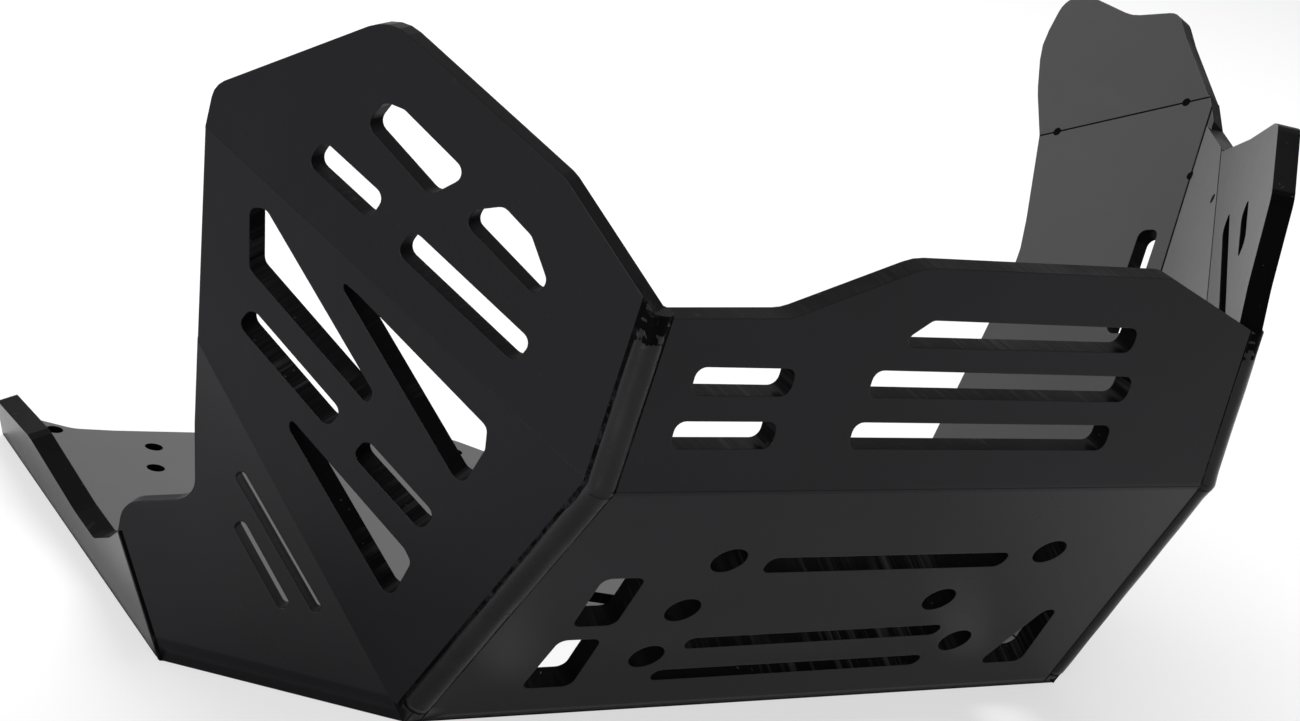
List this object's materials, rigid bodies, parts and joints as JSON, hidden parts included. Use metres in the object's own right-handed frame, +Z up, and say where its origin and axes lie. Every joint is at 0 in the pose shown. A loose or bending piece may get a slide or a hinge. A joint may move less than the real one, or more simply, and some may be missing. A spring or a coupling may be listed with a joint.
{
  "type": "motorcycle skid plate",
  "caption": "Folded plastic skid plate for under a motorcycle engine, with a slotted nose and brow, a windowed side wall and a tall flared wall.",
  "frame": {"origin": "on the flat underside of the belly, 110 mm behind the front fold, midway between the fold's ends", "axes": "+Z up, square to the belly; the front of the motorcycle is towards -Y; +X is towards the tall flared wall"},
  "size_m": [0.4916, 0.3097, 0.233],
  "materials": {
    "skid_plate": "smooth black sheet, semi-gloss, with milled edges"
  },
  "bodies": {
    "root": {"skid_plate": "skid_plate"}
  },
  "joints": []
}
